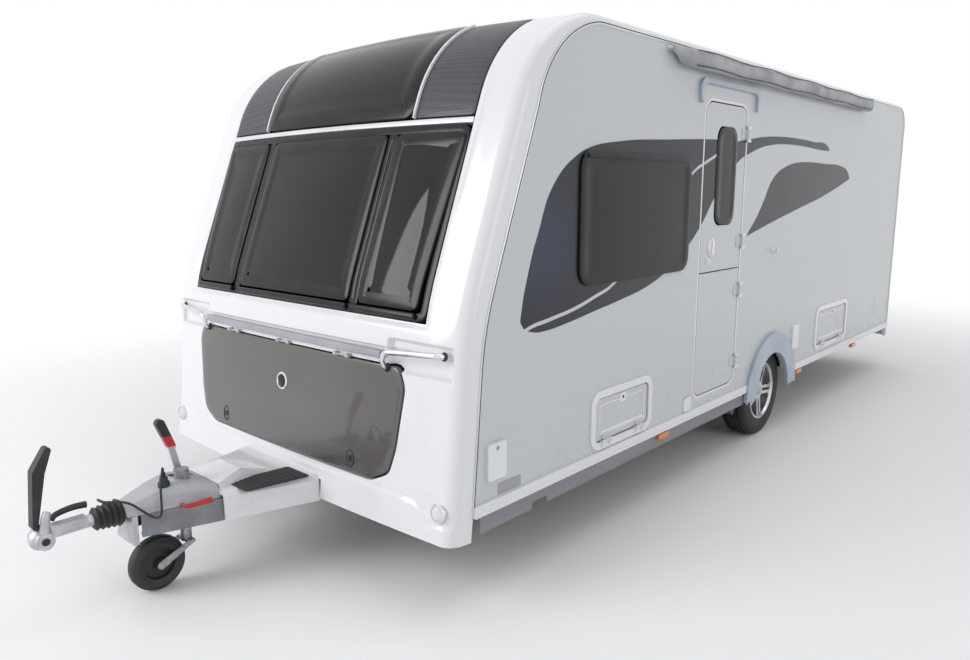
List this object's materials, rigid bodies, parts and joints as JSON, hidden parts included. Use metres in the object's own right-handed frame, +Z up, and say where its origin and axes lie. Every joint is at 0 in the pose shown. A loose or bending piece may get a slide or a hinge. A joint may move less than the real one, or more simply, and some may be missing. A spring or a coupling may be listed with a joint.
{
  "type": "travel caravan",
  "caption": "Single-axle travel caravan with hollow cabin, stable door, front locker, jockey wheel, corner steadies and ball coupling.",
  "frame": {"origin": "on the ground under the middle of the whole trailer", "axes": "-Y towards the coupling, +X towards the entrance door's side, +Z up"},
  "size_m": [2.3843, 7.2916, 2.556],
  "materials": {
    "white_moulding": "glossy white moulded shell",
    "wall_white": "pale grey-white sheet",
    "floor_board": "sealed board",
    "gloss_black": "gloss black",
    "tinted_pane": "dark tinted acrylic",
    "charcoal": "fine textured charcoal",
    "anodised": "satin anodised",
    "taupe_metallic": "dark warm-grey metallic",
    "inner_panel": "satin",
    "grey_gloss": "gloss grey",
    "grey_trim": "satin mid grey",
    "pale_grey_trim": "satin pale grey",
    "black_plastic": "moulded black",
    "galvanised": "galvanised",
    "tyre": "black rubber",
    "alloy": "machined and lacquered",
    "mover_grey": "satin dark grey",
    "cast_silver": "silver paint on casting",
    "black_rubber": "black rubber",
    "furniture_board": "wood-faced board",
    "upholstery": "woven fabric",
    "clear_white": "frosted acrylic",
    "lamp_red": "red lens",
    "awning_cloth": "coated grey cloth"
  },
  "bodies": {
    "caravan": {"front_panel": "white_moulding", "roof": "white_moulding", "rear_panel": "white_moulding", "side_wall_near": "wall_white", "side_wall_off": "wall_white", "floor": "floor_board", "front_window_frame": "gloss_black", "front_windows": "tinted_pane", "brow_panels": "charcoal", "skylight": "tinted_pane", "side_windows": "tinted_pane", "window_frames": "gloss_black", "rear_window": "tinted_pane", "door_frame": "anodised", "locker_box": "inner_panel", "front_bar": "grey_gloss", "hatch_frames": "white_moulding", "side_flaps": "white_moulding", "side_rails": "white_moulding", "side_skirts": "grey_trim", "arch_trims": "pale_grey_trim", "wheel_boxes": "black_plastic", "chassis_rails": "galvanised", "drawbar_arms": "galvanised", "cross_members": "galvanised", "axle": "galvanised", "motor_movers": "mover_grey", "nose_cover": "pale_grey_trim", "step_cover": "white_moulding", "coupling_head": "cast_silver", "stabiliser_handle": "black_plastic", "bellows": "black_rubber", "handbrake_lever": "black_plastic", "jockey_tube": "galvanised", "steadies_fixed": "galvanised", "furniture": "furniture_board", "seat_cushions": "upholstery", "rooflights": "clear_white", "rear_lamps": "lamp_red", "drip_rail": "pale_grey_trim", "awning_bag": "awning_cloth", "lead": "black_rubber", "plug": "black_plastic"},
    "wheel_near": {"tyre_near": "tyre", "rim_near": "alloy"},
    "wheel_off": {"tyre_off": "tyre", "rim_off": "alloy"},
    "door_upper": {"door_upper": "wall_white", "door_window": "tinted_pane"},
    "door_lower": {"door_lower": "wall_white"},
    "locker_door": {"locker_door": "taupe_metallic"},
    "service_door": {"service_door": "wall_white"},
    "rear_hatch": {"rear_hatch": "wall_white"},
    "jockey_leg": {"jockey_leg": "galvanised"},
    "jockey_fork": {"jockey_fork": "galvanised"},
    "jockey_wheel": {"jockey_wheel": "black_rubber"},
    "steady_front_near": {"steady_front_near": "galvanised"},
    "steady_front_off": {"steady_front_off": "galvanised"},
    "steady_rear_near": {"steady_rear_near": "galvanised"},
    "steady_rear_off": {"steady_rear_off": "galvanised"}
  },
  "joints": [
    {"name": "wheel_near_spin", "type": "hinge", "parent": "caravan", "child": "wheel_near", "pos_m": [1.0035, 0.65922, 0.3145], "axis": [1, 0, 0], "continuous": true},
    {"name": "wheel_off_spin", "type": "hinge", "parent": "caravan", "child": "wheel_off", "pos_m": [-1.0035, 0.65922, 0.3145], "axis": [1, 0, 0], "continuous": true},
    {"name": "door_upper_hinge", "type": "hinge", "parent": "caravan", "child": "door_upper", "pos_m": [1.153, 0.03872, 1.7], "axis": [0, 0, 1], "range_deg": [0, 160]},
    {"name": "door_lower_hinge", "type": "hinge", "parent": "caravan", "child": "door_lower", "pos_m": [1.153, 0.03872, 0.9], "axis": [0, 0, 1], "range_deg": [0, 160]},
    {"name": "locker_door_hinge", "type": "hinge", "parent": "caravan", "child": "locker_door", "pos_m": [0, -2.4839, 0.995], "axis": [-1, 0, 0], "range_deg": [0, 70]},
    {"name": "service_door_hinge", "type": "hinge", "parent": "caravan", "child": "service_door", "pos_m": [1.157, -1.26528, 0.4915], "axis": [0, 1, 0], "range_deg": [0, 150]},
    {"name": "rear_hatch_hinge", "type": "hinge", "parent": "caravan", "child": "rear_hatch", "pos_m": [1.157, 1.87022, 0.5115], "axis": [0, 1, 0], "range_deg": [0, 150]},
    {"name": "jockey_lift", "type": "slide", "parent": "caravan", "child": "jockey_leg", "axis": [0, 0, 1], "range_m": [-0.165, 0]},
    {"name": "jockey_swivel", "type": "hinge", "parent": "jockey_leg", "child": "jockey_fork", "pos_m": [0, -3.02978, 0.2], "axis": [0, 0, 1], "continuous": true},
    {"name": "jockey_wheel_spin", "type": "hinge", "parent": "jockey_fork", "child": "jockey_wheel", "pos_m": [0, -3.16778, 0.12], "axis": [1, 0, 0], "continuous": true},
    {"name": "steady_front_near_fold", "type": "hinge", "parent": "caravan", "child": "steady_front_near", "pos_m": [0.9, -1.44978, 0.374], "axis": [1, 0, 0], "range_deg": [0, 41]},
    {"name": "steady_rear_near_fold", "type": "hinge", "parent": "caravan", "child": "steady_rear_near", "pos_m": [0.9, 2.58022, 0.374], "axis": [-1, 0, 0], "range_deg": [0, 41]},
    {"name": "steady_front_off_fold", "type": "hinge", "parent": "caravan", "child": "steady_front_off", "pos_m": [-0.9, -1.44978, 0.374], "axis": [1, 0, 0], "range_deg": [0, 41]},
    {"name": "steady_rear_off_fold", "type": "hinge", "parent": "caravan", "child": "steady_rear_off", "pos_m": [-0.9, 2.58022, 0.374], "axis": [-1, 0, 0], "range_deg": [0, 41]}
  ]
}
